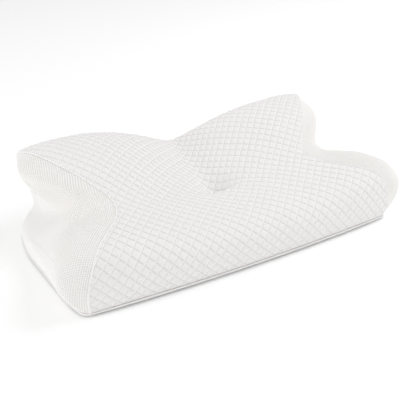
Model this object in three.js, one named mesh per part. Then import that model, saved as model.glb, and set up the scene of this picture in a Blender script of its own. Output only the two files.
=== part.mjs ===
// A contoured neck pillow: a moulded foam filling in a knitted cover. Millimetres, +Z up.
// X runs along the length, the neck roll is at low Y, and the two raised wings are at high Y.
import * as THREE from 'three';

// Driving sizes
const FRONT_EDGE_HALF = 266;
const FRONT_EDGE_BOW = 9;
const BACK_EDGE_Y = 304;
const SEAM_HEIGHT = 6.3;
const CLOTH = 2;

// Knitted diamonds of the cover: half of a diamond's width and height, and how far it puffs out
const DIAMOND_HALF_WIDTH = 8.4;
const DIAMOND_ROWS = 54;
const DIAMOND_PUFF = 1.3;

// Heights of the cover at five places from front to back, a row for each section across the length
const SECTION_Y = { roll: 44, lee: 85, dip: 125, mid: 190, crest: 252, rim: 288 };
const SECTIONS = [
  { x: 0, roll: 79, lee: 78, dip: 72, mid: 78, crest: 90, rim: 93, tuck: 0 },
  { x: 45, roll: 80, lee: 81, dip: 80, mid: 94, crest: 110, rim: 111, tuck: 0 },
  { x: 95, roll: 82, lee: 86, dip: 89, mid: 112, crest: 128, rim: 127, tuck: 0 },
  { x: 145, roll: 87, lee: 92, dip: 99, mid: 126, crest: 139, rim: 136, tuck: 2 },
  { x: 190, roll: 95, lee: 100, dip: 106, mid: 133, crest: 144, rim: 139, tuck: 6 },
  { x: 235, roll: 102, lee: 105, dip: 112, mid: 135, crest: 144, rim: 138, tuck: 12 },
  { x: 285, roll: 104, lee: 106, dip: 114, mid: 133, crest: 138, rim: 129, tuck: 20 },
];
const VALLEY_ROUNDING = 14;

// The wing at low X stands this much fuller than the other, from its foot to its crest
const WING_LEAN = 4.5;

// The pocket for the back of the head, steep on the side of the neck roll
const POCKET = { x: 8, y: 127, depth: 20, halfWidth: 26, frontLength: 14, backLength: 36 };

// One end of the pillow, a row for each station along its seam from the front foot to the back foot:
// place along the cover, the seam's x, then the four points below it, down to the base
const STATIONS = [
  [0.000, 266, [269, 1.5, 6.3], [272, 3.5, 6.3], [275, 6, 6.3], [277, 9]],
  [0.060, 267, [279, -2, 34], [293, 3, 34], [289, 11, 23], [281, 21]],
  [0.125, 258, [278, -1, 73], [301, 10, 64], [300, 27, 42], [285, 40]],
  [0.180, 242, [266, 16, 100], [290, 32, 87], [302, 46, 49], [288, 60]],
  [0.245, 213, [241, 54, 108], [271, 70, 93], [300, 80, 49], [292, 88]],
  [0.300, 189, [223, 86, 104], [260, 100, 86], [300, 112, 45], [296, 118]],
  [0.362, 177, [212, 117, 97], [250, 132, 76], [300, 148, 41], [300, 150]],
  [0.415, 182, [216, 142, 101], [247, 158, 72], [300, 176, 38], [303, 176]],
  [0.480, 204, [239, 170, 116], [251, 184, 69], [299, 201, 36], [303, 201]],
  [0.555, 229, [266, 202, 114], [259, 211, 64], [297, 222, 35], [301, 221]],
  [0.635, 252, [283, 238, 114], [261, 236, 59], [291, 239, 34], [298, 240]],
  [0.715, 271, [282, 270, 105], [261, 256, 57], [285, 251, 34], [293, 256]],
  [0.800, 275, [277, 284, 88], [260, 268, 56], [277, 262, 34], [286, 268]],
  [0.870, 266, [266, 290, 66], [259, 279, 52], [269, 272, 33], [280, 277]],
  [0.940, 260, [262, 294, 36], [263, 287, 31], [267, 282, 24], [273, 287]],
  [1.000, 258, [260, 303, 6.3], [262, 301.5, 6.3], [264, 300, 6.3], [266, 297]],
].map(([row, seamX, shoulder, hollow, lip, base]) => ({ row, seamX, shoulder, hollow, lip, base }));
const END_STEPS = 7;

// The end panels lie in a recess of the filling, and a round welt lies between them and the cover
const RECESS = CLOTH + 0.6;
const WELT_RADIUS = 1.4;
const WELT_SINK = 0.6;
const WELT_SIDES = 5;
const WELT_CLEAR = WELT_RADIUS + 0.5;

// Rings of the foot: how far each lies inside the outline of the base, and its height
const FILLING_FOOT = [[2.6, 6.1], [2.8, 4.4], [6, 2.3]];
const PANEL_OUTSIDE = [[0, 5.7], [0.6, 2.5], [3.5, 0]];
const PANEL_INSIDE = [[CLOTH, 5.7], [2.2, 4.2], [5, CLOTH]];

// Cubic interpolation through the rows of a table
function lookUp(rows, key, at, value) {
  let i = 0;
  while (i < rows.length - 2 && at > rows[i + 1][key]) i += 1;
  const slope = (a, b) => (value(rows[b]) - value(rows[a])) / (rows[b][key] - rows[a][key]);
  const tangent = (k) => slope(Math.max(k - 1, 0), Math.min(k + 1, rows.length - 1));
  const span = rows[i + 1][key] - rows[i][key];
  const t = (at - rows[i][key]) / span;
  const rise = (2 * t - 3) * t * t + 1;
  return rise * value(rows[i]) + (1 - rise) * value(rows[i + 1])
    + (((t - 2) * t + 1) * t * tangent(i) + (t - 1) * t * t * tangent(i + 1)) * span;
}

// Evenly spaced points on a smooth curve through the given points, after a first step if one is given
function spacedThrough(points, count, firstStep = 0) {
  const knots = points.map((point) => ({ at: 0, point }));
  for (let i = 1; i < knots.length; i += 1) {
    knots[i].at = knots[i - 1].at + knots[i].point.distanceTo(knots[i - 1].point);
  }
  const fine = [];
  const steps = 16 * (points.length - 1);
  const end = knots[knots.length - 1].at;
  for (let i = 0; i <= steps; i += 1) {
    const at = (end * i) / steps;
    fine.push(new THREE.Vector3(
      lookUp(knots, 'at', at, (k) => k.point.x),
      lookUp(knots, 'at', at, (k) => k.point.y),
      lookUp(knots, 'at', at, (k) => k.point.z),
    ));
  }
  const lengths = [0];
  for (let i = 1; i < fine.length; i += 1) lengths.push(lengths[i - 1] + fine[i].distanceTo(fine[i - 1]));
  const total = lengths[lengths.length - 1];
  const step = firstStep > 0 ? (total - firstStep) / (count - 1) : total / count;
  const spaced = [];
  let i = 1;
  for (let n = 0; n <= count; n += 1) {
    const want = total - (count - n) * step - (n === 0 ? total - count * step : 0);
    while (i < fine.length - 1 && lengths[i] < want) i += 1;
    const share = (want - lengths[i - 1]) / (lengths[i] - lengths[i - 1]);
    spaced.push(fine[i - 1].clone().lerp(fine[i], share));
  }
  return spaced;
}

function frontEdgeY(x) {
  return -FRONT_EDGE_BOW * (1 - (x / FRONT_EDGE_HALF) ** 2);
}

function pocketDepth(x, y) {
  const length = y < POCKET.y ? POCKET.frontLength : POCKET.backLength;
  const away = ((x - POCKET.x) / POCKET.halfWidth) ** 2 + ((y - POCKET.y) / length) ** 2;
  return POCKET.depth * Math.exp(-away);
}

function wingLean(x, y, row) {
  const across = Math.max(-1, Math.min(1, x / seamX(row)));
  const back = Math.max(0, Math.min(1, (y - SECTION_Y.dip) / (SECTION_Y.crest - SECTION_Y.dip)));
  return -WING_LEAN * Math.sin(Math.PI * across) * back;
}

// The cover's outline at one place along the length, from the front seam over the top to the back seam
function coverProfile(x) {
  const across = Math.sqrt(x * x + VALLEY_ROUNDING ** 2) - VALLEY_ROUNDING;
  const height = (name) => lookUp(SECTIONS, 'x', Math.min(across, 285), (row) => row[name]);
  const front = frontEdgeY(x);
  const roll = height('roll');
  const rim = height('rim');
  const points = [
    [front, SEAM_HEIGHT],
    [front - 5, 28],
    [front - 4, roll * 0.6],
    [front + 5, roll - 16],
    [front + 22, roll - 5],
    [SECTION_Y.roll, roll],
    [SECTION_Y.lee, height('lee')],
    [SECTION_Y.dip, height('dip')],
    [SECTION_Y.mid, height('mid')],
    [SECTION_Y.crest, height('crest')],
    [SECTION_Y.rim, rim],
    [BACK_EDGE_Y - 1, rim - 16],
    [BACK_EDGE_Y + 3 - height('tuck') * 0.4, rim - 40],
    [BACK_EDGE_Y + 3 - height('tuck'), rim * 0.42],
    [BACK_EDGE_Y, SEAM_HEIGHT],
  ];
  const spaced = spacedThrough(points.map(([y, z]) => new THREE.Vector3(x, y, z)), DIAMOND_ROWS);
  return spaced.map((point, row) => {
    const upright = Math.min(1, (point.z - SEAM_HEIGHT) / 60);
    const lift = wingLean(x, point.y, row) * upright - pocketDepth(x, point.y);
    return new THREE.Vector3(x, point.y, point.z + lift);
  });
}

// A point of the cover and its outward direction
const profiles = new Map();
function profileAt(x) {
  const key = x.toFixed(3);
  if (!profiles.has(key)) profiles.set(key, coverProfile(x));
  return profiles.get(key);
}
function coverNormal(x, row) {
  const beside = 4;
  const ahead = profileAt(x)[Math.min(row + 1, DIAMOND_ROWS)];
  const behind = profileAt(x)[Math.max(row - 1, 0)];
  const along = profileAt(x + beside)[row].clone().sub(profileAt(x - beside)[row]);
  return along.cross(ahead.clone().sub(behind)).normalize();
}

function seamX(row) {
  return lookUp(STATIONS, 'row', row / DIAMOND_ROWS, (station) => station.seamX);
}
function seamPoint(row) {
  return profileAt(seamX(row))[row].clone();
}

// What one line of the end surface runs through, from the seam down to the base
function endKnots(row) {
  const along = row / DIAMOND_ROWS;
  const place = (name) => new THREE.Vector3(...[0, 1, 2].map(
    (axis) => lookUp(STATIONS, 'row', along, (station) => station[name][axis] ?? SEAM_HEIGHT),
  ));
  const lip = place('lip');
  const base = place('base');
  const wall = lip.clone().lerp(base, 0.55);
  const bulge = 3 * Math.min(1, lip.z / 30 - 0.2);
  wall.x += bulge;
  return [seamPoint(row), place('shoulder'), place('hollow'), lip, wall, base];
}

// What the seam needs at one row: directions across and out of the end, and the room for the welt
const SEAM_SLICES = 24;
function seamFrame(row) {
  const point = seamPoint(row);
  const along = seamPoint(Math.min(row + 1, DIAMOND_ROWS)).sub(seamPoint(Math.max(row - 1, 0))).normalize();
  const down = spacedThrough(endKnots(row), SEAM_SLICES)[1].sub(point).normalize();
  const out = down.clone().cross(along).normalize();
  const across = along.clone().cross(out);
  const coverOut = coverNormal(seamX(row), row);
  const drop = out.clone().add(coverOut).multiplyScalar(RECESS / (1 + out.dot(coverOut)));
  const slope = -drop.dot(across);
  const weltAt = (WELT_CLEAR * Math.hypot(slope, RECESS) + WELT_SINK * slope) / RECESS;
  const firstStep = (weltAt + WELT_CLEAR + Math.max(0, slope) / 4) / across.dot(down);
  return { point, out, across, weltAt, firstStep, foot: point.clone().sub(drop) };
}

const ROWS = Array.from({ length: DIAMOND_ROWS + 1 }, (_, row) => row);
const STEPS = Array.from({ length: END_STEPS + 1 }, (_, step) => step);
const FRAMES = ROWS.map(seamFrame);
const END = ROWS.map((row) => spacedThrough(endKnots(row), END_STEPS, FRAMES[row].firstStep));

// Every edge of the end surface but the seam lies level, at the height of the base seam
function level(point, row, step) {
  if (row === 0 || row === DIAMOND_ROWS || step === END_STEPS) point.z = SEAM_HEIGHT;
  return point;
}

// A point this far inside the end surface
function insideEnd(row, step, depth) {
  const [j, k] = [Math.max(1, Math.min(row, DIAMOND_ROWS - 1)), Math.min(step, END_STEPS - 1)];
  const across = END[j][k + 1].clone().sub(END[j][k - 1]);
  const along = END[j + 1][k].clone().sub(END[j - 1][k]);
  const out = across.cross(along);
  if (row !== j || step !== k) out.z = 0;
  return level(END[row][step].clone().addScaledVector(out.normalize(), -depth), row, step);
}

// Collects the triangles of one closed solid
class Solid {
  constructor() {
    this.positions = [];
    this.triangles = [];
  }

  add(point) {
    this.positions.push(point);
    return this.positions.length - 1;
  }

  face(a, b, c) {
    if (a !== b && b !== c && c !== a) this.triangles.push([a, b, c]);
  }

  // Joins two chains of corners, the second on the left of the first
  zip(right, left) {
    let i = 0;
    let j = 0;
    const apart = (a, b) => this.positions[a].distanceTo(this.positions[b]);
    while (i < right.length - 1 || j < left.length - 1) {
      const stepRight = i < right.length - 1 ? apart(right[i + 1], left[j]) : Infinity;
      const stepLeft = j < left.length - 1 ? apart(right[i], left[j + 1]) : Infinity;
      if (stepRight <= stepLeft) {
        this.face(right[i], right[i + 1], left[j]);
        i += 1;
      } else {
        this.face(right[i], left[j + 1], left[j]);
        j += 1;
      }
    }
  }

  // Two triangles for each square of a grid of corners, turned over on the mirrored side
  grid(lines, side) {
    for (let j = 0; j < lines.length - 1; j += 1) {
      for (let k = 0; k < lines[j].length - 1; k += 1) {
        const [a, b, c, d] = [lines[j][k], lines[j][k + 1], lines[j + 1][k + 1], lines[j + 1][k]];
        this.face(a, side > 0 ? b : c, side > 0 ? c : b);
        this.face(a, side > 0 ? c : d, side > 0 ? d : c);
      }
    }
  }

  // Rings of corners one below the other, and a flat end on the last
  closeBelow(rings) {
    for (let n = 0; n < rings.length - 1; n += 1) {
      this.zip([...rings[n + 1], rings[n + 1][0]], [...rings[n], rings[n][0]]);
    }
    const last = rings[rings.length - 1];
    const middle = this.add(new THREE.Vector3(0, BACK_EDGE_Y / 2, this.positions[last[0]].z));
    last.forEach((corner, n) => this.face(middle, last[(n + 1) % last.length], corner));
  }

  geometry() {
    const geometry = new THREE.BufferGeometry();
    const flat = this.triangles.flat().flatMap((corner) => this.positions[corner].toArray());
    geometry.setAttribute('position', new THREE.Float32BufferAttribute(flat, 3));
    geometry.computeVertexNormals();
    return geometry;
  }
}

function mirrored(point, side) {
  return new THREE.Vector3(point.x * side, point.y, point.z);
}

// The outline of the base, anticlockwise from the front left, and a ring inside it at some height
const OUTLINE_STEP = 3;
function baseOutline() {
  const edge = Math.floor(seamX(0) / DIAMOND_HALF_WIDTH / OUTLINE_STEP) * OUTLINE_STEP;
  const front = [];
  const back = [];
  for (let i = -edge; i <= edge; i += OUTLINE_STEP) {
    front.push(profileAt(i * DIAMOND_HALF_WIDTH)[0]);
    if (Math.abs(i * DIAMOND_HALF_WIDTH) < seamX(DIAMOND_ROWS) - DIAMOND_HALF_WIDTH) {
      back.unshift(profileAt(i * DIAMOND_HALF_WIDTH)[DIAMOND_ROWS]);
    }
  }
  const end = [
    END[0][0], END[0][3], END[0][5],
    ...ROWS.filter((row) => row % OUTLINE_STEP === 0).map((row) => END[row][END_STEPS]),
    END[DIAMOND_ROWS][4], END[DIAMOND_ROWS][0],
  ];
  return [...front, ...end, ...back, ...end.map((point) => mirrored(point, -1)).reverse()];
}
const OUTLINE = baseOutline();

function insideOutline(inset, z) {
  return OUTLINE.map((point, n) => {
    const before = OUTLINE[(n + OUTLINE.length - 1) % OUTLINE.length];
    const after = OUTLINE[(n + 1) % OUTLINE.length];
    const first = new THREE.Vector2(point.x - before.x, point.y - before.y).normalize();
    const second = new THREE.Vector2(after.x - point.x, after.y - point.y).normalize();
    const bend = 1 + first.dot(second);
    const inward = new THREE.Vector2(-first.y - second.y, first.x + second.x).multiplyScalar(inset / bend);
    return new THREE.Vector3(point.x + inward.x, point.y + inward.y, z);
  });
}

function footRings(solid, rings) {
  return rings.map(([inset, z]) => insideOutline(inset, z).map((point) => solid.add(point)));
}

// The filled body: cover with its diamonds, the recesses for the end panels, and the underside
const SEAM_MARGIN = 3;
function bodySolid() {
  const solid = new Solid();
  const ends = { 1: [], '-1': [] };
  for (const side of [1, -1]) {
    ROWS.forEach((row) => {
      const points = [FRAMES[row].point, level(FRAMES[row].foot.clone(), row, 0)];
      STEPS.slice(1).forEach((step) => points.push(insideEnd(row, step, RECESS)));
      ends[side].push(points.map((point) => solid.add(mirrored(point, side))));
    });
    solid.grid(ends[side], side);
  }
  const cover = ROWS.map((row) => {
    const columns = new Map();
    const reach = Math.floor((seamX(row) - SEAM_MARGIN) / DIAMOND_HALF_WIDTH);
    for (let i = -reach; i <= reach; i += 1) {
      const x = i * DIAMOND_HALF_WIDTH;
      const point = profileAt(x)[row].clone();
      const puffs = (i + row) % 2 !== 0 && row > 0 && row < DIAMOND_ROWS;
      if (puffs) point.addScaledVector(coverNormal(x, row), DIAMOND_PUFF);
      columns.set(i, solid.add(point));
    }
    return { columns, reach, left: ends[-1][row][0], right: ends[1][row][0] };
  });
  for (let row = 0; row < DIAMOND_ROWS; row += 1) {
    const [near, far] = [cover[row], cover[row + 1]];
    const shared = Math.min(near.reach, far.reach);
    for (let i = -shared; i < shared; i += 1) {
      const [a, b] = [near.columns.get(i), near.columns.get(i + 1)];
      const [c, d] = [far.columns.get(i + 1), far.columns.get(i)];
      const rising = (i + row) % 2 === 0;
      solid.face(a, b, rising ? c : d);
      solid.face(rising ? a : b, c, d);
    }
    const beyond = (line, side) => {
      const corners = [];
      for (let i = shared; i <= line.reach; i += 1) corners.push(line.columns.get(i * side));
      corners.push(side > 0 ? line.right : line.left);
      return side > 0 ? corners : corners.reverse();
    };
    solid.zip(beyond(near, 1), beyond(far, 1));
    solid.zip(beyond(near, -1), beyond(far, -1));
  }
  const lastRow = (side) => ends[side].map((line) => line[END_STEPS + 1]);
  const loop = [
    ...cover[0].columns.values(),
    ...ends[1][0].slice(0, -1), ...lastRow(1), ...ends[1][DIAMOND_ROWS].slice(0, -1).reverse(),
    ...[...cover[DIAMOND_ROWS].columns.values()].reverse(),
    ...ends[-1][DIAMOND_ROWS].slice(0, -1), ...lastRow(-1).reverse(), ...ends[-1][0].slice(0, -1).reverse(),
  ];
  solid.closeBelow([loop, ...footRings(solid, FILLING_FOOT)]);
  return solid;
}

// The underside panel, turned up at its edge to the base seam, with an even thickness
function basePanelSolid() {
  const solid = new Solid();
  const outside = footRings(solid, PANEL_OUTSIDE);
  solid.closeBelow(outside);
  const inside = [outside[0], ...footRings(solid, PANEL_INSIDE)];
  for (let n = 0; n < inside.length - 1; n += 1) {
    solid.zip([...inside[n], inside[n][0]], [...inside[n + 1], inside[n + 1][0]]);
  }
  const floor = inside[inside.length - 1];
  const middle = solid.add(new THREE.Vector3(0, BACK_EDGE_Y / 2, CLOTH));
  floor.forEach((corner, n) => solid.face(middle, corner, floor[(n + 1) % floor.length]));
  return solid;
}

// One knitted end panel
function endPanelSolid(side) {
  const solid = new Solid();
  const lay = (depth) => ROWS.map((row) => STEPS.slice(1).map((step) => (
    solid.add(mirrored(insideEnd(row, step, depth), side)))));
  const outer = lay(0);
  const inner = lay(CLOTH);
  solid.grid(outer, side);
  solid.grid(inner, -side);
  const edge = (lines) => [
    ...lines.map((line) => line[0]),
    ...lines[DIAMOND_ROWS].slice(1),
    ...lines.map((line) => line[END_STEPS - 1]).reverse().slice(1),
    ...lines[0].slice(1, -1).reverse(),
  ];
  const outerEdge = edge(outer);
  const innerEdge = edge(inner);
  outerEdge.forEach((corner, n) => {
    const next = (n + 1) % outerEdge.length;
    const [a, b, c, d] = [corner, outerEdge[next], innerEdge[next], innerEdge[n]];
    solid.face(a, side > 0 ? b : c, side > 0 ? c : b);
    solid.face(a, side > 0 ? c : d, side > 0 ? d : c);
  });
  return solid;
}

// The round welt along one end seam
function weltSolid(side) {
  const solid = new Solid();
  const rings = ROWS.map((row) => {
    const frame = FRAMES[row];
    const centre = frame.point.clone().addScaledVector(frame.across, frame.weltAt);
    centre.addScaledVector(frame.out, -WELT_SINK);
    const corners = [];
    for (let n = 0; n < WELT_SIDES; n += 1) {
      const turn = (2 * Math.PI * n) / WELT_SIDES;
      const corner = centre.clone().addScaledVector(frame.out, WELT_RADIUS * Math.cos(turn));
      corner.addScaledVector(frame.across, WELT_RADIUS * Math.sin(turn));
      corners.push(solid.add(mirrored(level(corner, row, 0), side)));
    }
    return [...corners, corners[0]];
  });
  solid.grid(rings, side);
  for (let n = 1; n < WELT_SIDES - 1; n += 1) {
    const [first, last] = [rings[0], rings[DIAMOND_ROWS]];
    solid.face(first[0], side > 0 ? first[n + 1] : first[n], side > 0 ? first[n] : first[n + 1]);
    solid.face(last[0], side > 0 ? last[n] : last[n + 1], side > 0 ? last[n + 1] : last[n]);
  }
  return solid;
}

// The pillow, with its origin at the middle of its underside
const KNIT = new THREE.MeshStandardMaterial({ color: 0xeeebec, roughness: 0.95 });
const MESH_KNIT = new THREE.MeshStandardMaterial({ color: 0xf0ece8, roughness: 0.95 });
const SOLIDS = [
  ['pillow_body', bodySolid(), KNIT],
  ['base_panel', basePanelSolid(), KNIT],
  ['end_panel_right', endPanelSolid(1), MESH_KNIT],
  ['end_panel_left', endPanelSolid(-1), MESH_KNIT],
  ['end_welt_right', weltSolid(1), KNIT],
  ['end_welt_left', weltSolid(-1), KNIT],
];
const pillow = new THREE.Group();
pillow.name = 'cervical_pillow';
for (const [name, solid, material] of SOLIDS) {
  const mesh = new THREE.Mesh(solid.geometry(), material);
  mesh.name = name;
  pillow.add(mesh);
}
const middle = new THREE.Box3().setFromObject(pillow).getCenter(new THREE.Vector3());
pillow.children.forEach((mesh) => mesh.geometry.translate(0, -middle.y, 0));

export default pillow;
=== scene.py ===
"""The looks of a contoured neck pillow: knitted diamond cover, open-hole end panels, welts and underside."""

import math

import bmesh
import bpy
import numpy as np
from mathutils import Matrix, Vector


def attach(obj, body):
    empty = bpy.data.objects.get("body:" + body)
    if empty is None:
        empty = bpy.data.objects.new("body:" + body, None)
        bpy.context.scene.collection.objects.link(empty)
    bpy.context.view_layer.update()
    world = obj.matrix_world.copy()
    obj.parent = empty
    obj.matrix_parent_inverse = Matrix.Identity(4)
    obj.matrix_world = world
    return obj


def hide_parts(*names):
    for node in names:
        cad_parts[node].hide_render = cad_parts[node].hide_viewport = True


bl_info = {
    "name": "Contoured neck pillow",
    "version": (1, 0, 0),
    "blender": (4, 5, 0),
    "location": "View3D > Sidebar > Pillow",
    "description": "Builds a contoured neck pillow with a knitted cover around its packed solids",
    "category": "Add Mesh",
}

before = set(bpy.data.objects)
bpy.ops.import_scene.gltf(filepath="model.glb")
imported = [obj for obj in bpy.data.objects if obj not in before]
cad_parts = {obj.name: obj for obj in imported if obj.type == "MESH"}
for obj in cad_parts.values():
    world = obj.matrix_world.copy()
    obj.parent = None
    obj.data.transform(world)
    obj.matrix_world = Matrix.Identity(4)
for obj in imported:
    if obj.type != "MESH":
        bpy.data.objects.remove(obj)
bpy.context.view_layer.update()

# Sizes that the cover is drawn from, in millimetres: the same as those of the solids
CENTRE_Y = 146.617
FRONT_EDGE_HALF = 266.0
FRONT_EDGE_BOW = 9.0
BACK_EDGE_Y = 304.0
SEAM_HEIGHT = 6.3
ROWS = 54
DIAMOND_HALF_WIDTH = 8.4
SECTION_Y = {"roll": 44, "lee": 85, "dip": 125, "mid": 190, "crest": 252, "rim": 288}
SECTION_NAMES = ("x", "roll", "lee", "dip", "mid", "crest", "rim", "tuck")
SECTIONS = np.array([
    (0, 79, 78, 72, 78, 90, 93, 0),
    (45, 80, 81, 80, 94, 110, 111, 0),
    (95, 82, 86, 89, 112, 128, 127, 0),
    (145, 87, 92, 99, 126, 139, 136, 2),
    (190, 95, 100, 106, 133, 144, 139, 6),
    (235, 102, 105, 112, 135, 144, 138, 12),
    (285, 104, 106, 114, 133, 138, 129, 20),
], float)
VALLEY_ROUNDING = 14.0
WING_LEAN = 4.5
LEAN_HEIGHT = 60.0
POCKET = {"x": 8, "y": 127, "depth": 20, "half_width": 26, "front": 14, "back": 36}
# Along one end seam: row, the seam's x, then shoulder, hollow, lip and base points
STATIONS = np.array([
    (0.000, 266, 269, 1.5, 6.3, 272, 3.5, 6.3, 275, 6, 6.3, 277, 9, 6.3),
    (0.060, 267, 279, -2, 34, 293, 3, 34, 289, 11, 23, 281, 21, 6.3),
    (0.125, 258, 278, -1, 73, 301, 10, 64, 300, 27, 42, 285, 40, 6.3),
    (0.180, 242, 266, 16, 100, 290, 32, 87, 302, 46, 49, 288, 60, 6.3),
    (0.245, 213, 241, 54, 108, 271, 70, 93, 300, 80, 49, 292, 88, 6.3),
    (0.300, 189, 223, 86, 104, 260, 100, 86, 300, 112, 45, 296, 118, 6.3),
    (0.362, 177, 212, 117, 97, 250, 132, 76, 300, 148, 41, 300, 150, 6.3),
    (0.415, 182, 216, 142, 101, 247, 158, 72, 300, 176, 38, 303, 176, 6.3),
    (0.480, 204, 239, 170, 116, 251, 184, 69, 299, 201, 36, 303, 201, 6.3),
    (0.555, 229, 266, 202, 114, 259, 211, 64, 297, 222, 35, 301, 221, 6.3),
    (0.635, 252, 283, 238, 114, 261, 236, 59, 291, 239, 34, 298, 240, 6.3),
    (0.715, 271, 282, 270, 105, 261, 256, 57, 285, 251, 34, 293, 256, 6.3),
    (0.800, 275, 277, 284, 88, 260, 268, 56, 277, 262, 34, 286, 268, 6.3),
    (0.870, 266, 266, 290, 66, 259, 279, 52, 269, 272, 33, 280, 277, 6.3),
    (0.940, 260, 262, 294, 36, 263, 287, 31, 267, 282, 24, 273, 287, 6.3),
    (1.000, 258, 260, 303, 6.3, 262, 301.5, 6.3, 264, 300, 6.3, 266, 297, 6.3),
], float)

# The fold along each end's lip: row, and its height
CREASE = np.array([(0.15, 80), (0.19, 76), (0.245, 63), (0.3, 54), (0.36, 46), (0.42, 39), (0.45, 38)])
CREASE_WIDTH = 1.3
CREASE_FADE = 0.04
# The end knit's grain is turned by these degrees, fully so from the second of these rows on
TURN_ROWS = (0.30, 0.46)
WALE_TURN = 36.0
COURSE_TURN = 66.0
COURSE_SHARE = 0.94
# The stretch of the way down from the seam over which its holes close, behind the front corner and at it
CORNER_ROWS = (0.34, 0.18)
CLOSING_BEHIND = (0.34, 0.60)
CLOSING_FRONT = (0.36, 0.78)
CLOSED = 0.93
# Behind these rows its holes are this much fainter
BACK_ROWS = (0.74, 0.84)
BACK_CLOSED = 0.5
# How strongly its holes join up along a column, behind the front corner and at it
SLOT_ROWS = (0.30, 0.18)
SLOTS_BEHIND = 0.45
SLOTS_FRONT = 0.20

# The lattice, in millimetres: the distance between two parallel lines, and a line's width
LINE_SPACING = 12.3
LINE_WIDTH = 1.5
RISE_DEPTH = 0.8
# The diamonds flatten out over this far beside the end seams, and over this many rows at the base seam
EDGE_FADE = 8.0
ROW_FADE = 0.6
# The parts of a diamond's height that are level between its lines and that swell to its middle
FLAT_SHARE = 0.15
PUFF_SHARE = 0.85
# The filling's unevenness under the cover: the length of its waves and their height
UNEVEN_SIZE = 90
UNEVEN_HEIGHT = 0.5
UNEVEN_SEED = 3

# The end panels' thin cloth, and the welts with their bulge at each stitch, in millimetres
CLOTH = 1.6
WELT_RADIUS = 1.5
WELT_RIPPLE = 0.06
WELT_STITCH = 3.2
WELT_SIDES = 10
# The welt lies this share of a drawn step down the end, and this deep in the cloth
WELT_STEP = 0.6
WELT_SUNK = 0.5

# The underside's rolled edge, from above the filling's edge round the roll to the floor: how far in from the
# seam, and how high. The middle of the front edge stands further out and a little off the floor.
RESTING_EDGE = ((30, 1.8), (17, 2.0), (5.5, 2.6), (2.4, 3.5), (1.4, 5.1), (0.5, 5.75), (-0.7, 5.3),
                (-1.0, 4.1), (-0.6, 2.8), (1.4, 1.4), (5, 0.6), (12, 0.1), (30, 0.0))
LIFTED_EDGE = ((30, 1.8), (17, 2.4), (8.5, 3.7), (3.6, 4.8), (1.4, 5.4), (0.3, 5.9), (-1.7, 6.5),
               (-2.8, 5.0), (-1.8, 3.4), (2.4, 3.0), (8, 1.9), (17, 0.6), (30, 0.0))
LIFTED_BETWEEN = (FRONT_EDGE_HALF - 4, FRONT_EDGE_HALF - 59)
LIFTED_BEFORE = (10, 2)
# Rings further in than this shrink towards the middle, because they'd cross at the corners otherwise
ROUND_CORNER = 4.0
# Which rings of it swell and sink a little along the seam, by how much and over which lengths
WAVED_RINGS = slice(6, 9)
WAVE_HEIGHT = 0.105
WAVE_SHORT = 9.0
WAVE_LONG = 47.0

# The base seam's thread, in millimetres, with each stitch reaching this share of the pitch to both sides
THREAD_RADIUS = 0.42
THREAD_HEIGHT = 6.15
THREAD_SIDES = 5
THREAD_SLICES = 5
THREAD_SHARE = 0.34
THREAD_SUNK = 0.35
THREAD_DIP = 0.3

# How finely the visible cloth is drawn
FINE = 5
FINE_ROWS = ROWS * FINE
CURVE_STEPS = 16
COLUMNS = 300
END_STEPS = 60
HIDDEN_DEPTH = 3.2
HIDDEN_COLUMNS = slice(3, -2, 3)
PROFILE_REACH = 292
PROFILE_STEP = 2.0
BASE_POINTS = 161
ROWS_APART = 3
STEPS_APART = 6
SHORTEST_STEP = 0.4

# The photo's camera: degrees, metres, and its focal length and width in pixels
CAMERA_AZIMUTH = -28.9
CAMERA_ELEVATION = 31.0
CAMERA_PLACE = (-0.4302, -0.7793, 0.5562)
FOCAL_PIXELS = 600
PHOTO_PIXELS = 416
SENSOR_WIDTH = 36.0

# The soft boxes: name, place, aim, size and power
LIGHTS = (
    ("key", (1.7, -0.2, 1.8), (0.0, 0.0, 0.05), (1.6, 1.6), 21),
    ("left", (-2.1, -0.1, 0.75), (-0.2, 0.0, 0.05), (1.2, 0.9), 11.5),
    ("front", (1.5, -2.0, 1.0), (0.1, 0.0, 0.05), (1.6, 1.0), 4),
)
WORLD_STRENGTH = 0.70
# The floor glows this much, apart from the last few millimetres beside the pillow, where the missing glow is
# a painted contact shadow; the floor lies just below the pillow
FLOOR_GLOW = 0.19
FLOOR_SHADOW = 0.009
FLOOR_DROP = 0.0004
FLOOR_HALF = 8


def ramp(value, start, end):
    """0 at start and 1 at end, straight between them."""
    return np.clip((value - start) / (end - start), 0, 1)


def blend(first, second, share):
    """The first value where the share is 0, and the second where it is 1."""
    return first + (second - first) * share


def through(places, values, at):
    """Smooth curve through the values at those places, as the solids use it."""
    values = np.asarray(values, float)
    places = np.asarray(places, float)
    slope = np.empty_like(values)
    rise = (values[1:] - values[:-1]).T / (places[1:] - places[:-1])
    slope[0], slope[-1] = rise.T[0], rise.T[-1]
    slope[1:-1] = ((values[2:] - values[:-2]).T / (places[2:] - places[:-2])).T
    at = np.atleast_1d(np.asarray(at, float))
    i = np.clip(np.searchsorted(places, at, side="left") - 1, 0, len(places) - 2)
    span = places[i + 1] - places[i]
    t = (at - places[i]) / span
    shape = (-1,) + (1,) * (values.ndim - 1)
    t, span = t.reshape(shape), span.reshape(shape)
    first = (2 * t - 3) * t * t + 1
    return (first * values[i] + (1 - first) * values[i + 1]
            + (((t - 2) * t + 1) * t * slope[i] + (t - 1) * t * t * slope[i + 1]) * span)


def travelled(points):
    """How far along their line each of the points is."""
    return np.concatenate([[0], np.cumsum(np.linalg.norm(np.diff(points, axis=0), axis=1))])


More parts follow.
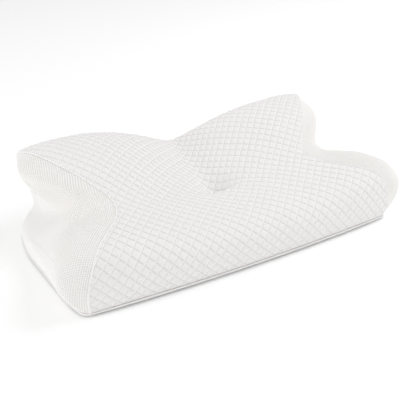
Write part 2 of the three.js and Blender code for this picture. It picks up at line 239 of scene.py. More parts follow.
def spaced(points, count):
    """Evenly spaced points on the smooth curve through points."""
    points = np.asarray(points, float)
    places = travelled(points)
    fine = through(places, points, np.linspace(0, places[-1], CURVE_STEPS * (len(points) - 1) + 1))
    lengths = travelled(fine)
    wanted = np.linspace(0, lengths[-1], count + 1)
    return np.stack([np.interp(wanted, lengths, fine[:, k]) for k in range(fine.shape[1])], 1)


def seam_x(row):
    """The seam's distance from the middle at a row of the cover."""
    return through(STATIONS[:, 0], STATIONS[:, 1], np.asarray(row) / ROWS)


def section_profile(x):
    """The cover's outline at one x, from the front seam over the top to the back seam."""
    across = min(math.hypot(x, VALLEY_ROUNDING) - VALLEY_ROUNDING, SECTIONS[-1, 0])
    heights = dict(zip(SECTION_NAMES, through(SECTIONS[:, 0], SECTIONS, across)[0]))
    front = -FRONT_EDGE_BOW * (1 - (x / FRONT_EDGE_HALF) ** 2)
    roll, rim, tuck = heights["roll"], heights["rim"], heights["tuck"]
    points = [(front, SEAM_HEIGHT), (front - 5, 28), (front - 4, roll * 0.6), (front + 5, roll - 16),
              (front + 22, roll - 5)]
    points += [(place, heights[name]) for name, place in SECTION_Y.items()]
    points += [(BACK_EDGE_Y - 1, rim - 16), (BACK_EDGE_Y + 3 - tuck * 0.4, rim - 40),
               (BACK_EDGE_Y + 3 - tuck, rim * 0.42), (BACK_EDGE_Y, SEAM_HEIGHT)]
    return spaced(points, FINE_ROWS)


class Surfaces:
    """The cover's and the ends' smooth surfaces, worked out once."""

    def __init__(self):
        self.rows = np.arange(FINE_ROWS + 1) / FINE
        self.seam = seam_x(self.rows)
        self.xs = np.arange(-PROFILE_REACH, PROFILE_REACH + 1, PROFILE_STEP)
        profiles = np.array([section_profile(x) for x in self.xs])
        x, y, z = self.xs[:, None], profiles[:, :, 0], profiles[:, :, 1]
        back = ramp(y, SECTION_Y["dip"], SECTION_Y["crest"])
        lean = -WING_LEAN * np.sin(np.pi * np.clip(x / self.seam, -1, 1)) * back
        upright = np.minimum(1, (z - SEAM_HEIGHT) / LEAN_HEIGHT)
        length = np.where(y < POCKET["y"], POCKET["front"], POCKET["back"])
        pocket = POCKET["depth"] * np.exp(
            -((x - POCKET["x"]) / POCKET["half_width"]) ** 2 - ((y - POCKET["y"]) / length) ** 2)
        self.y, self.z = y, z + lean * upright - pocket
        self.end = np.array([self.end_line(n) for n in range(FINE_ROWS + 1)])

    def on_cover(self, n, x):
        """Points of the cover on fine row n at these x."""
        return np.stack([x, np.interp(x, self.xs, self.y[:, n]), np.interp(x, self.xs, self.z[:, n])], -1)

    def end_line(self, n):
        """One line of the right end from the seam down to the base."""
        row = through(STATIONS[:, 0], STATIONS, self.rows[n] / ROWS)[0]
        shoulder, hollow, lip, base = row[2:5], row[5:8], row[8:11], row[11:14]
        bulge = 3 * min(1, lip[2] / 30 - 0.2)
        wall = blend(lip, base, 0.55) + (bulge, 0, 0)
        seam = self.on_cover(n, np.array([self.seam[n]]))[0]
        return spaced([seam, shoulder, hollow, lip, wall, base], END_STEPS)


def grid_normals(points):
    """Unit directions across a grid of points: first axis along, second axis across."""
    along = np.gradient(points, axis=0)
    across = np.gradient(points, axis=1)
    out = np.cross(across, along)
    return out / np.maximum(np.linalg.norm(out, axis=2, keepdims=True), 1e-9)


def grid_faces(rows, columns, start=0, flip=False):
    """Four-cornered faces of a grid whose corners are numbered row by row."""
    corner = start + np.arange(rows * columns).reshape(rows, columns)
    a, b, c, d = corner[:-1, :-1], corner[:-1, 1:], corner[1:, 1:], corner[1:, :-1]
    order = (a, d, c, b) if flip else (a, b, c, d)
    return np.stack([k.ravel() for k in order], 1)


def tube_faces(rings, sides, start=0, flip=False):
    """The sides and the two lids of a tube whose corners are numbered ring by ring."""
    corner = start + np.arange(rings * sides).reshape(rings, sides)
    beside = np.roll(corner, -1, axis=1)
    order = (corner[:-1], beside[:-1], beside[1:], corner[1:])
    if flip:
        order = (corner[:-1], corner[1:], beside[1:], beside[:-1])
    faces = np.stack(order, -1).reshape(-1, 4).tolist()
    lids = [corner[0], corner[-1][::-1]] if flip else [corner[0][::-1], corner[-1]]
    return faces + [lid.tolist() for lid in lids]


def make_object(name, points, faces, uv=None, floats=None):
    """A mesh object from points in millimetres, in the drawing's frame."""
    mesh = bpy.data.meshes.new(name)
    place = (np.asarray(points, float) - (0, CENTRE_Y, 0)) / 1000
    mesh.from_pydata(place.tolist(), [], [list(map(int, face)) for face in faces])
    corner = np.empty(len(mesh.loops), np.int32)
    mesh.loops.foreach_get("vertex_index", corner)
    if uv is not None:
        layer = mesh.uv_layers.new(name="cloth")
        layer.data.foreach_set("uv", np.asarray(uv, float)[corner].ravel())
    for key, values in (floats or {}).items():
        layer = mesh.attributes.new(key, "FLOAT", "POINT")
        layer.data.foreach_set("value", np.asarray(values, float).ravel())
    mesh.polygons.foreach_set("use_smooth", [True] * len(mesh.polygons))
    mesh.update()
    obj = bpy.data.objects.new(name, mesh)
    bpy.context.scene.collection.objects.link(obj)
    return obj


def near_line(value):
    """Distance to the nearest whole number."""
    return np.abs(value - np.round(value))


def uneven(x, y, size, seed):
    """A smooth, repeatable unevenness from a few waves, about -1 to 1."""
    waves = 7
    rng = np.random.default_rng(seed)
    total = np.zeros(np.broadcast(x, y).shape)
    for _ in range(waves):
        turn, phase, scale = rng.uniform(0, math.tau), rng.uniform(0, math.tau), rng.uniform(0.7, 1.6)
        total += np.sin((x * math.cos(turn) + y * math.sin(turn)) * math.tau * scale / size + phase)
    return total / (waves / 2)


# Materials

# How many times each unevenness of the knit repeats along a metre
NOISE = {"lines": 55, "ribs": 160, "fleck": 900, "cover cloud": 14, "end cloud": 18, "plain cloud": 40,
         "floor": 3}
# Across a line of the lattice, in shares of the distance to the next: where the raised rim, with its painted
# highlight, and the painted shade on the line's other side start and end, and how strong they are
RIM_AND_HIGHLIGHT = {"fall": ((-0.14, -0.08), (0.03, -0.01), 1.0), "rise": ((-0.12, -0.06), (0.02, -0.02), 0.7)}
PAINTED_SHADE_SIDE = {"fall": ((-0.02, 0.02), (0.12, 0.05), 0.65), "rise": ((-0.03, 0.02), (0.24, 0.06), 0.75)}


class Nodes:
    """Short names for building one material's nodes."""

    def __init__(self, name):
        self.material = bpy.data.materials.new(name)
        self.material.use_nodes = True
        self.tree = self.material.node_tree
        self.shader = self.tree.nodes["Principled BSDF"]

    def put(self, socket, value):
        """Give a socket a link from another node, or a value."""
        if isinstance(value, bpy.types.NodeSocket):
            self.tree.links.new(value, socket)
        else:
            socket.default_value = value

    def set(self, key, value):
        """Give the shader one of its inputs."""
        self.put(self.shader.inputs[key], value)

    def node(self, kind, inputs=None, **settings):
        """A new node with its settings and inputs."""
        made = self.tree.nodes.new(kind)
        for key, value in settings.items():
            setattr(made, key, value)
        for key, value in (inputs or {}).items():
            self.put(made.inputs[key], value)
        return made

    def math(self, operation, *values):
        return self.node("ShaderNodeMath", dict(enumerate(values)), operation=operation).outputs[0]

    def fade(self, value, low, high):
        """0 at low and 1 at high, eased."""
        made = self.node("ShaderNodeMapRange", {"Value": value, "From Min": low, "From Max": high},
                         interpolation_type="SMOOTHSTEP")
        return made.outputs["Result"]

    def noise(self, vector, scale, detail=3.0, roughness=0.55):
        made = self.node("ShaderNodeTexNoise", {"Vector": vector, "Scale": scale, "Detail": detail,
                                                "Roughness": roughness})
        return made.outputs["Fac"]

    def mix(self, factor, first, second):
        """The first colour where the factor is 0, and the second where it is 1."""
        return self.node("ShaderNodeMix", {0: factor, 6: first, 7: second}, data_type="RGBA").outputs[2]

    def total(self, shares):
        """The values added up, each times its share."""
        made = 0.0
        for value, share in shares:
            made = self.math("MULTIPLY_ADD", value, share, made)
        return made

    def tint_and_painted_light(self, base, layers):
        """The base colour under one tint after another, each as strong as its mask times its share: the
        cloth's own tones, and painted light and shade.
        """
        for mask, share, tint in layers:
            base = self.mix(self.math("MULTIPLY", mask, share), base, tint)
        return base

    def line_mark(self, lines, mark):
        """A mark along the lattice's lines, the stronger one where a rising and a falling line cross."""
        strengths = []
        for name, (start, end, strength) in mark.items():
            inside = self.math("MULTIPLY", self.fade(lines[name], *start), self.fade(lines[name], *end))
            strengths.append(self.math("MULTIPLY", inside, strength))
        return self.math("MAXIMUM", *strengths)


def shade(colour, factor):
    """The colour made darker or lighter."""
    return tuple(min(1.0, c * factor) for c in colour[:3]) + (1.0,)


def cloth_shader(kit, base, height, strength, depth, roughness=0.95, sheen=0.2):
    """What every knitted piece has in common: its colour, its low relief and a soft sheen."""
    bump = kit.node("ShaderNodeBump", {"Strength": strength, "Distance": depth, "Height": height})
    kit.set("Base Color", base)
    kit.set("Normal", bump.outputs[0])
    kit.set("Roughness", roughness)
    kit.set("Sheen Weight", sheen)
    kit.set("Sheen Roughness", 0.6)
    kit.set("Specular IOR Level", 0.25)
    return kit.material


def cover_material(colours, sizes):
    """White knit with sunken lines between the diamonds and fine ribs inside them; painted highlight and
    shade along the lines.
    """
    kit = Nodes("cover_knit")
    cover = colours.cover
    uv = kit.node("ShaderNodeUVMap", uv_map="cloth").outputs[0]
    place = kit.node("ShaderNodeTexCoord").outputs["Object"]
    across, row = kit.node("ShaderNodeSeparateXYZ", {0: uv}).outputs[:2]
    wobble = kit.math("MULTIPLY", kit.math("SUBTRACT", kit.noise(place, NOISE["lines"], 2), 0.5), 0.10)
    lines = {}
    for name, operation in (("rise", "ADD"), ("fall", "SUBTRACT")):
        at = kit.math("MULTIPLY_ADD", kit.math(operation, across, row), 0.5, wobble)
        lines[name] = kit.math("WRAP", at, 0.5, -0.5)
    from_rise = kit.math("MULTIPLY", kit.math("ABSOLUTE", lines["rise"]), 1.35)
    nearest = kit.math("MINIMUM", from_rise, kit.math("ABSOLUTE", lines["fall"]))
    groove = kit.fade(nearest, 0.0, 0.06)
    shoulder = kit.fade(nearest, 0.0, 0.2)
    # The rim mask raises each line's rim in the relief, and also carries its painted highlight in the colour.
    rim = kit.line_mark(lines, RIM_AND_HIGHLIGHT)
    rib_run = kit.math("MULTIPLY_ADD", kit.noise(place, NOISE["ribs"], 2), 0.12, row)
    rib = kit.math("PINGPONG", kit.math("MULTIPLY", rib_run, sizes.ribs), 0.5)
    wale = kit.math("PINGPONG", kit.math("MULTIPLY", across, sizes.ribs * 0.8), 0.5)
    fleck = kit.noise(place, NOISE["fleck"], 2, 0.7)
    cloud = kit.noise(place, NOISE["cover cloud"])
    height = kit.total(((groove, 0.2), (shoulder, 0.8), (rim, 0.3), (rib, 0.16), (wale, 0.10), (fleck, 0.10)))
    # Painted shade: the grooves colour is laid on one side of each lattice line.
    base = kit.mix(kit.line_mark(lines, PAINTED_SHADE_SIDE), shade(cover, 1.0), shade(colours.groove, 1.0))
    base = kit.tint_and_painted_light(base, (
        (kit.fade(rib, 0.12, 0.0), 0.30, shade(cover, 0.9)),
        (kit.fade(fleck, 0.45, 0.25), 0.22, shade(cover, 0.93)),
        (kit.fade(cloud, 0.40, 0.75), 0.35, shade(cover, 0.95)),
        # Painted highlight: the cover made lighter along each line's raised rim.
        (rim, 0.7, shade(cover, 1.12)),
    ))
    return cloth_shader(kit, base, height, 0.6, sizes.groove, roughness=0.92, sheen=0.25)


def mesh_material(colours, sizes):
    """Off-white knit with rows of small holes that fade out where the cloth is relaxed; the holes and the
    lip's fold are darkened with painted shade.
    """
    kit = Nodes("end_knit")
    mesh, hole_shade = colours.mesh, shade(colours.hole_shade, 1.0)
    uv = kit.node("ShaderNodeUVMap", uv_map="cloth").outputs[0]
    place = kit.node("ShaderNodeTexCoord").outputs["Object"]
    column, course = kit.node("ShaderNodeSeparateXYZ", {0: uv}).outputs[:2]
    open_, slots, crease_and_shade = (kit.node("ShaderNodeAttribute", attribute_name=name).outputs["Fac"]
                            for name in ("open", "slots", "crease_and_shade"))
    beside_column = kit.fade(kit.math("PINGPONG", column, 0.5), 0.38, 0.10)
    beside_course = kit.fade(kit.math("PINGPONG", course, 0.5), 0.36, 0.10)
    gap = kit.math("MULTIPLY", beside_column, kit.math("MAXIMUM", beside_course, slots))
    depth = kit.math("MULTIPLY", gap, open_)
    fleck = kit.noise(place, NOISE["fleck"], 2, 0.7)
    cloud = kit.noise(place, NOISE["end cloud"])
    height = kit.total(((fleck, 0.25), (crease_and_shade, -0.5), (depth, -1.0)))
    base = kit.tint_and_painted_light(kit.mix(open_, shade(mesh, 0.92), shade(mesh, 1.0)), (
        # Painted shade: the holes darkened with the eyelets colour.
        (depth, 0.85, hole_shade),
        (kit.fade(fleck, 0.46, 0.26), 0.3, shade(mesh, 0.86)),
        (kit.fade(cloud, 0.4, 0.75), 0.4, shade(mesh, 0.95)),
        # Painted shade: the fold along the lip darkened with the eyelets colour.
        (crease_and_shade, 0.4, hole_shade),
    ))
    return cloth_shader(kit, base, height, 0.75, sizes.eyelet_depth)


def plain_knit_material(name, colour, grain, depth):
    """Small even knit for the welts, the underside and the thread."""
    kit = Nodes(name)
    place = kit.node("ShaderNodeTexCoord").outputs["Object"]
    fleck = kit.noise(place, grain, 2, 0.7)
    cloud = kit.noise(place, NOISE["plain cloud"])
    base = kit.tint_and_painted_light(shade(colour, 1.0), (
        (kit.fade(fleck, 0.5, 0.3), 0.5, shade(colour, 0.82)),
        (kit.fade(cloud, 0.4, 0.7), 0.4, shade(colour, 0.93)),
    ))
    return cloth_shader(kit, base, fleck, 0.7, depth)


# Pieces

def relief(x, row, sizes):
    """How far the cover stands out at lattice place (x, row), in millimetres."""
    rise = near_line((x / DIAMOND_HALF_WIDTH + row) / 2) * LINE_SPACING
    fall = near_line((x / DIAMOND_HALF_WIDTH - row) / 2) * LINE_SPACING
    beside_rise = 1 - RISE_DEPTH * np.exp(-(rise / LINE_WIDTH) ** 2)
    beside_fall = 1 - np.exp(-(fall / LINE_WIDTH) ** 2)
    puff = np.minimum(rise, fall) / (LINE_SPACING / 2)
    return sizes.relief * 1000 * (FLAT_SHARE * beside_rise * beside_fall + PUFF_SHARE * puff)


def build_cover(surfaces, sizes, colours):
    """The filled body in its diamond knit, closed below and behind the end panels."""
    share = np.linspace(-1, 1, COLUMNS + 1)
    x = surfaces.seam[:, None] * share[None, :]
    base = np.array([surfaces.on_cover(n, x[n]) for n in range(FINE_ROWS + 1)])
    row = np.broadcast_to(surfaces.rows[:, None], x.shape)
    out = grid_normals(base)
    edge = ramp(surfaces.seam[:, None] - np.abs(x), 0, EDGE_FADE)
    edge = edge * ramp(np.minimum(row, ROWS - row), 0, ROW_FADE)
    swell = uneven(x, base[:, :, 1], UNEVEN_SIZE, UNEVEN_SEED) * UNEVEN_HEIGHT
    stand = (relief(x, row, sizes) + swell) * edge
    points = base + out * stand[:, :, None]
    points[0, :, 2] = points[-1, :, 2] = SEAM_HEIGHT
    corners = [points.reshape(-1, 3)]
    faces = [grid_faces(FINE_ROWS + 1, COLUMNS + 1)]
    uv = [np.stack([x / DIAMOND_HALF_WIDTH, row], -1).reshape(-1, 2)]
    start = points.shape[0] * points.shape[1]
    end_out = grid_normals(surfaces.end)
    hidden = surfaces.end - end_out * HIDDEN_DEPTH
    hidden = np.concatenate([hidden[:, HIDDEN_COLUMNS], hidden[:, -1:]], 1)
    hidden[0, :, 2] = hidden[-1, :, 2] = hidden[:, -1, 2] = SEAM_HEIGHT
    for side, column in ((1, COLUMNS), (-1, 0)):
        wide = hidden.shape[1]
        corners.append(hidden.reshape(-1, 3) * (side, 1, 1))
        uv.append(np.zeros((len(corners[-1]), 2)))
        faces.append(grid_faces(FINE_ROWS + 1, wide, start, flip=side < 0))
        seam = np.arange(FINE_ROWS + 1) * (COLUMNS + 1) + column
        first = start + np.arange(FINE_ROWS + 1) * wide
        strip = np.stack([seam[:-1], first[:-1], first[1:], seam[1:]], 1)
        faces.append(strip if side > 0 else strip[:, ::-1])
        start += len(corners[-1])
    cover = make_object("cover_knit", np.concatenate(corners), np.concatenate(faces), np.concatenate(uv))
    shell = bmesh.new()
    shell.from_mesh(cover.data)
    rim = [edge for edge in shell.edges if edge.is_boundary]
    bmesh.ops.holes_fill(shell, edges=rim, sides=0)
    shell.to_mesh(cover.data)
    shell.free()
    cover.data.materials.append(cover_material(colours, sizes))
    return cover


def end_cloth(surfaces, sizes):
    """Outer and inner points of an end panel, its cloth coordinates and its shader's marks."""
    grid = surfaces.end[:, 1:].copy()
    out = grid_normals(surfaces.end)[:, 1:]
    lengths = np.cumsum(np.linalg.norm(np.diff(surfaces.end, axis=1), axis=2), axis=1)
    along = travelled(surfaces.end[:, 0])
    row = surfaces.rows[:, None] / ROWS
    inner = grid - out * CLOTH
    for layer in (grid, inner):
        layer[0, :, 2] = layer[-1, :, 2] = layer[:, -1, 2] = SEAM_HEIGHT
    turned = ramp(row, *TURN_ROWS)
    step = np.diff(along, prepend=0)[:, None]
    wale, course = np.radians(WALE_TURN) * turned, np.radians(COURSE_TURN) * turned
    u = np.cumsum(np.sin(wale) * step, axis=0) + lengths * np.cos(wale)
    v = np.cumsum(np.cos(course) * step, axis=0) - lengths * np.sin(course)
    pitch = sizes.eyelet_pitch * 1000
    u, v = u / pitch, v / (pitch * COURSE_SHARE)
    corner = ramp(row, *CORNER_ROWS)
    start, end = (blend(*ends, corner) for ends in zip(CLOSING_BEHIND, CLOSING_FRONT))
    relaxed = ramp(lengths / lengths[:, -1:], start, end)
    open_ = 1 - CLOSED * relaxed * relaxed * (3 - 2 * relaxed)
    open_ = open_ * (1 - BACK_CLOSED * ramp(row, *BACK_ROWS))
    fold_heights = np.interp(row[:, 0], CREASE[:, 0], CREASE[:, 1])
    fold_at = np.array([[np.interp(-height, -line[:, 2], far)]
                        for height, line, far in zip(fold_heights, grid, lengths)])
    first, last = CREASE[0, 0], CREASE[-1, 0]
    reach = ramp(row, first, first + CREASE_FADE) * ramp(row, last, last - CREASE_FADE)
    # The lip's fold: a dent in the relief, and painted shade in the end knit's colour.
    crease_and_shade = np.exp(-((lengths - fold_at) / CREASE_WIDTH) ** 2) * reach
    slots = np.broadcast_to(blend(SLOTS_BEHIND, SLOTS_FRONT, ramp(row, *SLOT_ROWS)), lengths.shape)
    return grid, inner, u, v, {"open": open_, "slots": slots, "crease_and_shade": crease_and_shade}


def build_end_panel(surfaces, side, name, sizes, material):
    """One end panel as a thin closed cloth, with its true edges."""
    grid, inner, u, v, marks = end_cloth(surfaces, sizes)
    rows, columns = grid.shape[:2]
    mirror = np.array((side, 1, 1))
    points = np.concatenate([grid.reshape(-1, 3), inner.reshape(-1, 3)]) * mirror
    faces = [grid_faces(rows, columns, 0, flip=side < 0),
             grid_faces(rows, columns, rows * columns, flip=side > 0)]
    corner = np.arange(rows * columns).reshape(rows, columns)
    loop = np.concatenate([corner[:, 0], corner[-1, 1:], corner[::-1, -1][1:], corner[0, ::-1][1:-1]])
    after = np.roll(loop, -1)
    rim = np.stack([loop, after, after + rows * columns, loop + rows * columns], 1)
    faces.append(rim if side > 0 else rim[:, ::-1])
    uv = np.tile(np.stack([u, v], -1).reshape(-1, 2), (2, 1))
    floats = {key: np.tile(values.ravel(), 2) for key, values in marks.items()}
    panel = make_object(name, points, np.concatenate(faces), uv, floats)
    panel.data.materials.append(material)
    return panel


def build_welt(surfaces, side, name, material):
    """A closed cord along one end seam, which bulges a little at each stitch."""
    mirror = np.array((side, 1, 1))
    outs = grid_normals(surfaces.end)[:, 0]
    centres = surfaces.end[:, 0] + (surfaces.end[:, 1] - surfaces.end[:, 0]) * WELT_STEP - outs * WELT_SUNK
    centres[0, 2] = centres[-1, 2] = SEAM_HEIGHT
    centres, outs = centres * mirror, outs * mirror
    along = np.gradient(centres, axis=0)
    along /= np.linalg.norm(along, axis=1, keepdims=True)
    across = np.cross(along, outs)
    across /= np.linalg.norm(across, axis=1, keepdims=True)
    up = np.cross(across, along)
    place = travelled(centres)
    radius = WELT_RADIUS * (1 + WELT_RIPPLE * np.sin(place * math.tau / WELT_STITCH))
    turn = np.linspace(0, math.tau, WELT_SIDES, endpoint=False)
    ring = np.cos(turn)[None, :, None] * up[:, None] + np.sin(turn)[None, :, None] * across[:, None]
    points = centres[:, None] + ring * radius[:, None, None]
    welt = make_object(name, points.reshape(-1, 3), tube_faces(len(centres), WELT_SIDES))
    if side < 0:
        welt.data.flip_normals()
    welt.data.materials.append(material)
    return welt


def outline(surfaces):
    """The base seam's outline, anticlockwise from the front left."""
    share = np.linspace(-1, 1, BASE_POINTS)[1:-1]
    front = surfaces.on_cover(0, surfaces.seam[0] * share)
    back = surfaces.on_cover(FINE_ROWS, -surfaces.seam[-1] * share)
    front_side, base = surfaces.end[0, ::STEPS_APART], surfaces.end[ROWS_APART::ROWS_APART, -1]
    back_side = surfaces.end[-1, ::-STEPS_APART][1:]
    end = np.concatenate([front_side, base, back_side])
    left = end[::-1] * (-1, 1, 1)
    loop = np.concatenate([front, end, back, left])
    loop[:, 2] = 0
    keep = np.linalg.norm(loop - np.roll(loop, 1, axis=0), axis=1) > SHORTEST_STEP
    return loop[keep]


def inset_rings(loop, rings):
    """The loop moved inwards by each ring's first number, at each ring's height.

    Further in than the corners are round, the loop shrinks towards its middle instead.
    """
    before, after = np.roll(loop, 1, axis=0), np.roll(loop, -1, axis=0)
    first = (loop - before)[:, :2]
    second = (after - loop)[:, :2]
    first /= np.linalg.norm(first, axis=1, keepdims=True)
    second /= np.linalg.norm(second, axis=1, keepdims=True)
    bend = 1 + (first * second).sum(1, keepdims=True)
    inward = np.stack([-(first + second)[:, 1], (first + second)[:, 0]], 1) / bend
    middle = np.array((0, CENTRE_Y))
    made = []
    for inset, height in rings:
        ring = loop.copy()
        if inset > ROUND_CORNER:
            ring[:, :2] -= (loop[:, :2] - middle) * inset / CENTRE_Y
        else:
            ring[:, :2] += inward * inset
        ring[:, 2] = height
        made.append(ring)
    return np.array(made)


def build_underside(surfaces, colours):
    """The underside panel with its rolled edge."""
    loop = outline(surfaces)
    lifted = ramp(np.abs(loop[:, 0]), *LIFTED_BETWEEN) * ramp(loop[:, 1], *LIFTED_BEFORE)
    rings = blend(inset_rings(loop, RESTING_EDGE), inset_rings(loop, LIFTED_EDGE), lifted[:, None])
    place = travelled(loop)
    rings[WAVED_RINGS, :, 2] += np.sin(place / WAVE_SHORT + 2 * np.sin(place / WAVE_LONG)) * WAVE_HEIGHT
    uv = np.stack([np.tile(place, len(rings)), rings[:, :, 2].ravel()], 1) / DIAMOND_HALF_WIDTH
    panel = make_object("base_knit", rings.reshape(-1, 3), tube_faces(len(rings), len(loop), flip=True), uv)
    material = plain_knit_material("base_knit", shade(colours.cover, 1.05), grain=420, depth=0.0005)
    panel.data.materials.append(material)
    return panel


def build_stitches(surfaces, sizes, colours):
    """The sewn line round the base, one short thread for each stitch."""
    loop = outline(surfaces)
    closed = np.concatenate([loop, loop[:1]])
    place = travelled(closed)
    pitch = sizes.stitch_pitch * 1000
    count = int(place[-1] / pitch)
    at = (np.arange(count) + 0.5) * place[-1] / count
    middle = np.stack([np.interp(at, place, closed[:, k]) for k in range(3)], 1)
    ahead = np.stack([np.interp((at + 1) % place[-1], place, closed[:, k]) for k in range(3)], 1) - middle
    ahead /= np.linalg.norm(ahead, axis=1, keepdims=True)
    up = np.array((0, 0, 1.0))
    outward = np.cross(ahead, up)
    turn = np.linspace(0, math.tau, THREAD_SIDES, endpoint=False)[:, None]
    corners = []
    faces = []
    for n in range(count):
        faces += tube_faces(THREAD_SLICES, THREAD_SIDES, len(corners) * THREAD_SIDES, flip=True)
        round_thread = np.cos(turn) * outward[n] + np.sin(turn) * up
        for along in np.linspace(-1, 1, THREAD_SLICES):
            radius = THREAD_RADIUS * math.sqrt(max(0.02, 1 - along * along))
            centre = middle[n] + ahead[n] * along * pitch * THREAD_SHARE + up * THREAD_HEIGHT
            centre = centre - outward[n] * (THREAD_SUNK + THREAD_DIP * abs(along))
            corners.append(centre + radius * round_thread)
    threads = make_object("base_stitches", np.concatenate(corners), faces)
    threads.data.materials.append(plain_knit_material("thread", colours.thread, grain=1500, depth=0.0002))
    return threads



# What the panel shows

class PillowSizes(bpy.types.PropertyGroup):
    relief: bpy.props.FloatProperty(
        name="Diamond relief", description="How far the middle of a diamond stands out of the cover",
        default=0.0012, min=0.0, max=0.004, unit="LENGTH", subtype="DISTANCE")
    groove: bpy.props.FloatProperty(
        name="Groove depth", description="Depth of the fine lines between the diamonds",
        default=0.0012, min=0.0, max=0.003, unit="LENGTH", subtype="DISTANCE")
    ribs: bpy.props.FloatProperty(
        name="Ribs per half diamond", description="How many fine knitted ribs cross half of a diamond",
        default=6.0, min=1.0, max=20.0)
    eyelet_pitch: bpy.props.FloatProperty(
        name="Eyelet pitch", description="Distance between the columns of holes in the end panels",
        default=0.0032, min=0.002, max=0.01, unit="LENGTH", subtype="DISTANCE")
    eyelet_depth: bpy.props.FloatProperty(
        name="Eyelet depth", description="How deep the end panels' holes look",
        default=0.0009, min=0.0, max=0.003, unit="LENGTH", subtype="DISTANCE")
    stitch_pitch: bpy.props.FloatProperty(
        name="Stitch pitch", description="Distance between the stitches of the base seam",
        default=0.0052, min=0.002, max=0.02, unit="LENGTH", subtype="DISTANCE")


class PillowColours(bpy.types.PropertyGroup):
    cover: bpy.props.FloatVectorProperty(
        name="Cover", description="Colour of the diamond knit", subtype="COLOR", size=4,
        default=(0.86, 0.846, 0.842, 1.0), min=0.0, max=1.0)
    # Painted shade: the grooves colour is laid beside each lattice line, on the side that would be in shade.
    groove: bpy.props.FloatVectorProperty(
        name="Grooves", description="Colour of the knit in the lines between the diamonds", subtype="COLOR",
        size=4, default=(0.745, 0.725, 0.715, 1.0), min=0.0, max=1.0)
    mesh: bpy.props.FloatVectorProperty(
        name="End panels", description="Colour of the open-hole knit", subtype="COLOR", size=4,
        default=(0.93, 0.92, 0.902, 1.0), min=0.0, max=1.0)
    # Painted shade: this colour darkens the holes and the fold along each lip.
    hole_shade: bpy.props.FloatVectorProperty(
        name="Eyelets", description="Colour inside the end panels' holes", subtype="COLOR", size=4,
        default=(0.78, 0.75, 0.70, 1.0), min=0.0, max=1.0)
    welt: bpy.props.FloatVectorProperty(
        name="Welts", description="Colour of the welts along the end seams", subtype="COLOR", size=4,
        default=(0.92, 0.91, 0.90, 1.0), min=0.0, max=1.0)
    thread: bpy.props.FloatVectorProperty(
        name="Thread", description="Colour of the base seam's thread", subtype="COLOR", size=4,
        default=(0.47, 0.39, 0.33, 1.0), min=0.0, max=1.0)
    floor: bpy.props.FloatVectorProperty(
        name="Floor", description="Colour of the surface that the pillow lies on", subtype="COLOR", size=4,
        default=(0.86, 0.86, 0.86, 1.0), min=0.0, max=1.0)


class PILLOW_OT_cover(bpy.types.Operator):
    """Build the filled body in its diamond knit"""
    bl_idname = "pillow.cover"
    bl_label = "Cover"

    def execute(self, context):
        scene = context.scene
        cover = build_cover(SURFACES, scene.pillow_sizes, scene.pillow_colours)
        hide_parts("pillow_body")
        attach(cover, "root")
        return {"FINISHED"}


class PILLOW_OT_end_panels(bpy.types.Operator):
    """Build the two open-hole end panels"""
    bl_idname = "pillow.end_panels"
    bl_label = "End panels"

    def execute(self, context):
        scene = context.scene
        material = mesh_material(scene.pillow_colours, scene.pillow_sizes)
        area = np.cross(np.gradient(SURFACES.end, axis=0), np.gradient(SURFACES.end, axis=1))
        area = float(np.linalg.norm(area, axis=2).sum()) / 1e6
        for side, word in ((1, "right"), (-1, "left")):
            panel = build_end_panel(SURFACES, side, f"end_knit_{word}", scene.pillow_sizes, material)
            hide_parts(f"end_panel_{word}")
            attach(panel, "root")
        return {"FINISHED"}


class PILLOW_OT_welts(bpy.types.Operator):
    """Build the two welts along the end seams"""
    bl_idname = "pillow.welts"
    bl_label = "Welts"

    def execute(self, context):
        scene = context.scene
        material = plain_knit_material("welt_knit", scene.pillow_colours.welt, grain=700, depth=0.0005)
        for side, word in ((1, "right"), (-1, "left")):
            welt = build_welt(SURFACES, side, f"end_seam_{word}", material)
            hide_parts(f"end_welt_{word}")
            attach(welt, "root")
        return {"FINISHED"}


class PILLOW_OT_underside(bpy.types.Operator):
    """Build the underside panel, its rolled edge and its stitched seam"""
    bl_idname = "pillow.underside"
    bl_label = "Underside"

    def execute(self, context):
        scene = context.scene
        panel = build_underside(SURFACES, scene.pillow_colours)
        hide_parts("base_panel")
        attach(panel, "root")
        threads = build_stitches(SURFACES, scene.pillow_sizes, scene.pillow_colours)
        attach(threads, "root")
        return {"FINISHED"}


def area_light(name, place, aim, size, power):
    """A soft box that looks at aim."""
    data = bpy.data.lights.new(name, "AREA")
    data.shape = "RECTANGLE"
    data.size, data.size_y = size
    data.energy = power
    lamp = bpy.data.objects.new(name, data)
    lamp.location = place
    lamp.rotation_euler = (Vector(aim) - Vector(place)).to_track_quat("-Z", "Y").to_euler()
    bpy.context.scene.collection.objects.link(lamp)


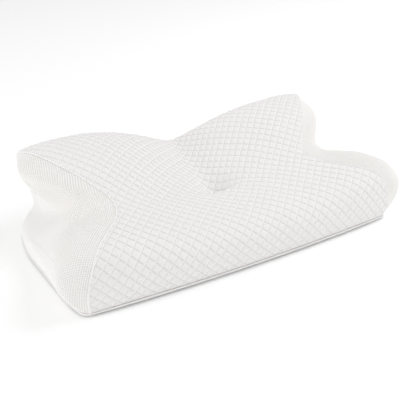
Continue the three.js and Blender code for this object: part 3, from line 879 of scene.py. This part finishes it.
class PILLOW_OT_stage(bpy.types.Operator):
    """Set up the floor, the lights and the camera"""
    bl_idname = "pillow.stage"
    bl_label = "Stage"

    def execute(self, context):
        scene = context.scene
        mesh = bpy.data.meshes.new("floor")
        corners = [(-1, -1), (1, -1), (1, 1), (-1, 1)]
        mesh.from_pydata([(x * FLOOR_HALF, y * FLOOR_HALF, 0) for x, y in corners], [], [(0, 1, 2, 3)])
        floor = bpy.data.objects.new("floor", mesh)
        floor.location.z = -FLOOR_DROP
        scene.collection.objects.link(floor)
        kit = Nodes("floor")
        place = kit.node("ShaderNodeTexCoord").outputs["Object"]
        colour = scene.pillow_colours.floor
        cloud = kit.noise(place, NOISE["floor"], 2)
        kit.set("Base Color", kit.tint_and_painted_light(shade(colour, 1.0), [(cloud, 0.2, shade(colour, 0.995))]))
        # Painted contact shadow: the floor's glow fades out where the pillow lies within a few millimetres.
        near = kit.node("ShaderNodeAmbientOcclusion", {"Distance": FLOOR_SHADOW}).outputs["AO"]
        kit.set("Emission Color", (1.0, 1.0, 1.0, 1.0))
        kit.set("Emission Strength", kit.math("MULTIPLY", kit.fade(near, 0.35, 0.95), FLOOR_GLOW))
        kit.set("Roughness", 0.9)
        kit.set("Specular IOR Level", 0.1)
        mesh.materials.append(kit.material)
        world = bpy.data.worlds.new("studio")
        world.use_nodes = True
        background = world.node_tree.nodes["Background"]
        background.inputs["Color"].default_value = (1.0, 1.0, 1.0, 1.0)
        background.inputs["Strength"].default_value = WORLD_STRENGTH
        scene.world = world
        for light in LIGHTS:
            area_light(*light)
        camera = bpy.data.objects.new("camera", bpy.data.cameras.new("camera"))
        azimuth, elevation = math.radians(CAMERA_AZIMUTH), math.radians(CAMERA_ELEVATION)
        back = Vector((math.sin(azimuth) * math.cos(elevation), -math.cos(azimuth) * math.cos(elevation),
                       math.sin(elevation)))
        camera.location = CAMERA_PLACE
        camera.rotation_mode = "QUATERNION"
        camera.rotation_quaternion = (-back).to_track_quat("-Z", "Y")
        camera.data.sensor_width = SENSOR_WIDTH
        camera.data.lens = FOCAL_PIXELS / PHOTO_PIXELS * SENSOR_WIDTH
        camera.data.clip_start = 0.05
        camera.data.clip_end = 40.0
        scene.collection.objects.link(camera)
        scene.camera = camera
        scene.view_settings.view_transform = "Standard"
        return {"FINISHED"}


class PILLOW_PT_panel(bpy.types.Panel):
    bl_label = "Contoured neck pillow"
    bl_space_type = "VIEW_3D"
    bl_region_type = "UI"
    bl_category = "Pillow"

    def draw(self, context):
        scene = context.scene
        for group in (scene.pillow_sizes, scene.pillow_colours):
            column = self.layout.column()
            for name in group.__annotations__:
                column.prop(group, name)
        for operator in OPERATORS:
            self.layout.operator(operator.bl_idname)


OPERATORS = (PILLOW_OT_cover, PILLOW_OT_end_panels, PILLOW_OT_welts, PILLOW_OT_underside, PILLOW_OT_stage)
CLASSES = (PillowSizes, PillowColours, *OPERATORS, PILLOW_PT_panel)
SURFACES = Surfaces()


def register():
    for cls in CLASSES:
        bpy.utils.register_class(cls)
    bpy.types.Scene.pillow_sizes = bpy.props.PointerProperty(type=PillowSizes)
    bpy.types.Scene.pillow_colours = bpy.props.PointerProperty(type=PillowColours)


def unregister():
    del bpy.types.Scene.pillow_colours
    del bpy.types.Scene.pillow_sizes
    for cls in reversed(CLASSES):
        bpy.utils.unregister_class(cls)


def main():
    register()
    for operator in OPERATORS:
        area, name = operator.bl_idname.split(".")
        getattr(getattr(bpy.ops, area), name)()


if __name__ == "__main__":
    main()
